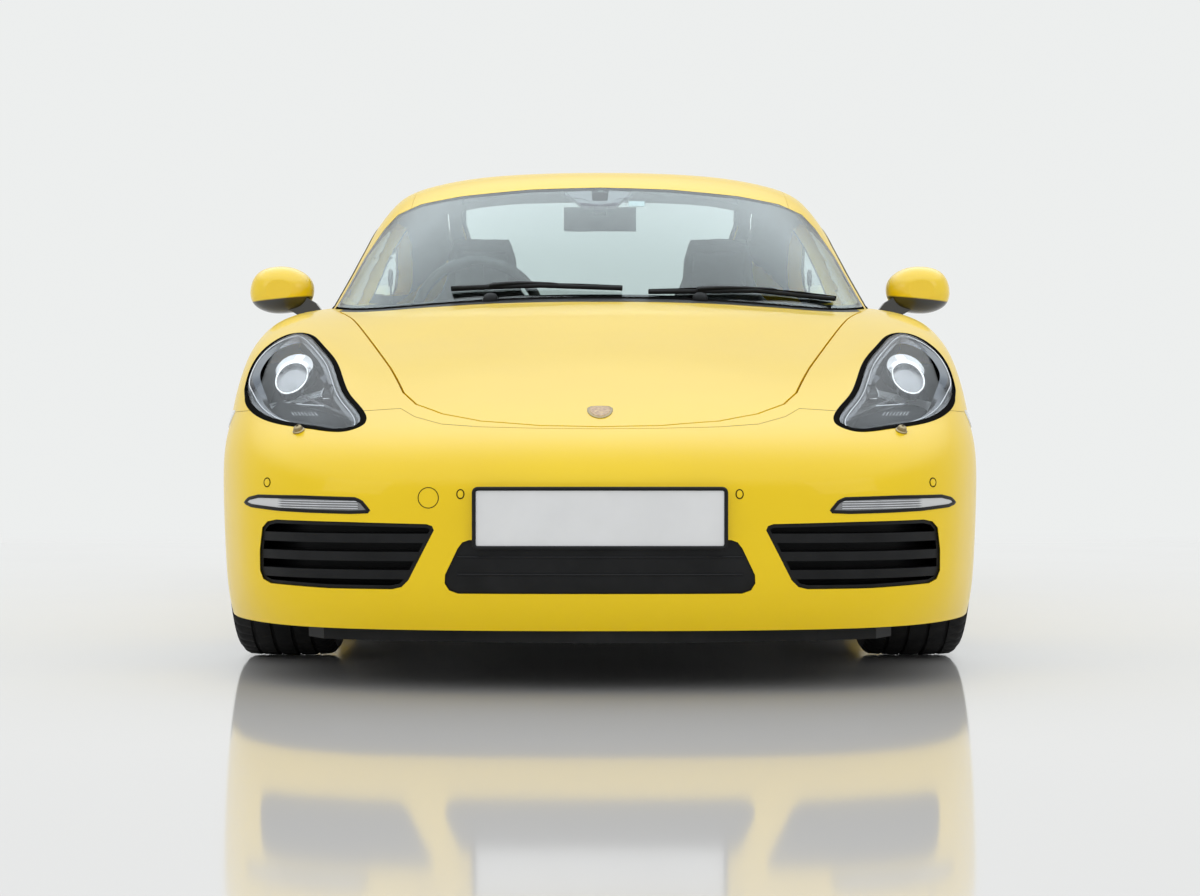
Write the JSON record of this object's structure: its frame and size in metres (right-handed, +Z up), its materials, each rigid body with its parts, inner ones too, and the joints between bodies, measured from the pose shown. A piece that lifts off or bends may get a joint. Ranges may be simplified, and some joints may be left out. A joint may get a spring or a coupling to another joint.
{
  "type": "coupe car",
  "caption": "Two-seat mid-engine coupe car with opening doors, front lid and rear hatch, steered front wheels, lamps, grilles, glazing and a fitted cabin.",
  "frame": {"origin": "on the ground under the middle of the car's overall length, on its centre plane", "axes": "the nose faces -Y, +X is the car's left side, +Z is up"},
  "size_m": [1.9702, 4.379, 1.3146],
  "materials": {
    "yellow_paint": "gloss clear coat",
    "clear_glass": "clear, slightly tinted",
    "lamp_cover": "clear, polished",
    "lamp_metal": "satin silver",
    "lamp_strip": "clear over white",
    "tail_red": "clear red",
    "black_plastic": "fine grain",
    "gloss_black": "gloss",
    "plate_white": "blank, satin",
    "tyre_rubber": "moulded",
    "rim_alloy": "painted silver",
    "cast_metal": "as cast",
    "under_black": "rough",
    "steel": "bare",
    "interior_black": "soft grain",
    "seat_leather": "fine grain, stitched",
    "carpet": "short pile",
    "mirror_glass": "polished"
  },
  "bodies": {
    "root": {"front_bumper": "yellow_paint", "cowl_panel": "black_plastic", "front_wing_left": "yellow_paint", "front_wing_right": "yellow_paint", "body_side_left": "yellow_paint", "body_side_right": "yellow_paint", "roof_panel": "yellow_paint", "windscreen": "clear_glass", "quarter_windows": "clear_glass", "rear_bumper": "yellow_paint", "rear_diffuser": "black_plastic", "rear_spoiler": "yellow_paint", "tail_lamps": "tail_red", "headlamp_lenses": "lamp_cover", "headlamps": "lamp_metal", "light_strips": "lamp_strip", "intake_grilles": "black_plastic", "number_plates": "plate_white", "front_lip": "black_plastic", "floor_tub": "under_black", "front_luggage_tub": "carpet", "rear_luggage_tray": "carpet", "engine_block": "cast_metal", "exhaust": "steel", "dashboard": "interior_black", "seat_left": "seat_leather", "seat_right": "seat_leather", "interior_mirror": "interior_black", "wipers": "black_plastic", "front_subframe": "cast_metal", "rear_subframe": "cast_metal", "drive_shafts": "steel", "arch_liners": "under_black", "rear_knuckles": "cast_metal"},
    "door_left": {"door_left": "yellow_paint", "door_glass_left": "clear_glass", "mirror_left": "yellow_paint"},
    "door_right": {"door_right": "yellow_paint", "door_glass_right": "clear_glass", "mirror_right": "yellow_paint"},
    "bonnet": {"bonnet": "yellow_paint"},
    "hatch": {"hatch": "yellow_paint", "rear_window": "clear_glass"},
    "steering_wheel": {"steering_wheel": "seat_leather"},
    "knuckle_left": {"knuckle_left": "cast_metal"},
    "knuckle_right": {"knuckle_right": "cast_metal"},
    "wheel_front_left": {"tyre_front_left": "tyre_rubber", "rim_front_left": "rim_alloy"},
    "wheel_front_right": {"tyre_front_right": "tyre_rubber", "rim_front_right": "rim_alloy"},
    "wheel_rear_left": {"tyre_rear_left": "tyre_rubber", "rim_rear_left": "rim_alloy"},
    "wheel_rear_right": {"tyre_rear_right": "tyre_rubber", "rim_rear_right": "rim_alloy"}
  },
  "joints": [
    {"name": "door_left_hinge", "type": "hinge", "parent": "root", "child": "door_left", "pos_m": [0.89, -0.6775, 0.5], "axis": [0, 0, 1], "range_deg": [-65, 0]},
    {"name": "door_right_hinge", "type": "hinge", "parent": "root", "child": "door_right", "pos_m": [-0.89, -0.6775, 0.5], "axis": [0, 0, 1], "range_deg": [0, 65]},
    {"name": "bonnet_hinge", "type": "hinge", "parent": "root", "child": "bonnet", "pos_m": [0, -0.6775, 0.905], "axis": [1, 0, 0], "range_deg": [-60, 0]},
    {"name": "hatch_hinge", "type": "hinge", "parent": "root", "child": "hatch", "pos_m": [0, 0.3855, 1.292], "axis": [1, 0, 0], "range_deg": [0, 62]},
    {"name": "steer_left", "type": "hinge", "parent": "root", "child": "knuckle_left", "pos_m": [0.70266, -1.2645, 0.2], "axis": [-0.2254, 0, 0.9743], "range_deg": [-32, 32]},
    {"name": "steer_right", "type": "hinge", "parent": "root", "child": "knuckle_right", "pos_m": [-0.70266, -1.2645, 0.2], "axis": [0.2254, 0, 0.9743], "range_deg": [-32, 32]},
    {"name": "steering_column", "type": "hinge", "parent": "root", "child": "steering_wheel", "pos_m": [-0.34884, -0.2595, 0.862], "axis": [0, 0.9272, 0.3746], "range_deg": [-450, 450]},
    {"name": "wheel_front_left_spin", "type": "hinge", "parent": "knuckle_left", "child": "wheel_front_left", "pos_m": [0.7575, -1.2645, 0.335], "axis": [1, 0, 0], "continuous": true},
    {"name": "wheel_front_right_spin", "type": "hinge", "parent": "knuckle_right", "child": "wheel_front_right", "pos_m": [-0.7575, -1.2645, 0.335], "axis": [1, 0, 0], "continuous": true},
    {"name": "wheel_rear_left_spin", "type": "hinge", "parent": "root", "child": "wheel_rear_left", "pos_m": [0.766, 1.2105, 0.347], "axis": [1, 0, 0], "continuous": true},
    {"name": "wheel_rear_right_spin", "type": "hinge", "parent": "root", "child": "wheel_rear_right", "pos_m": [-0.766, 1.2105, 0.347], "axis": [1, 0, 0], "continuous": true}
  ],
  "couplings": [
    {"joint": "steer_right", "follows": "steer_left", "ratio": 1},
    {"joint": "steering_column", "follows": "steer_left", "ratio": 14}
  ]
}
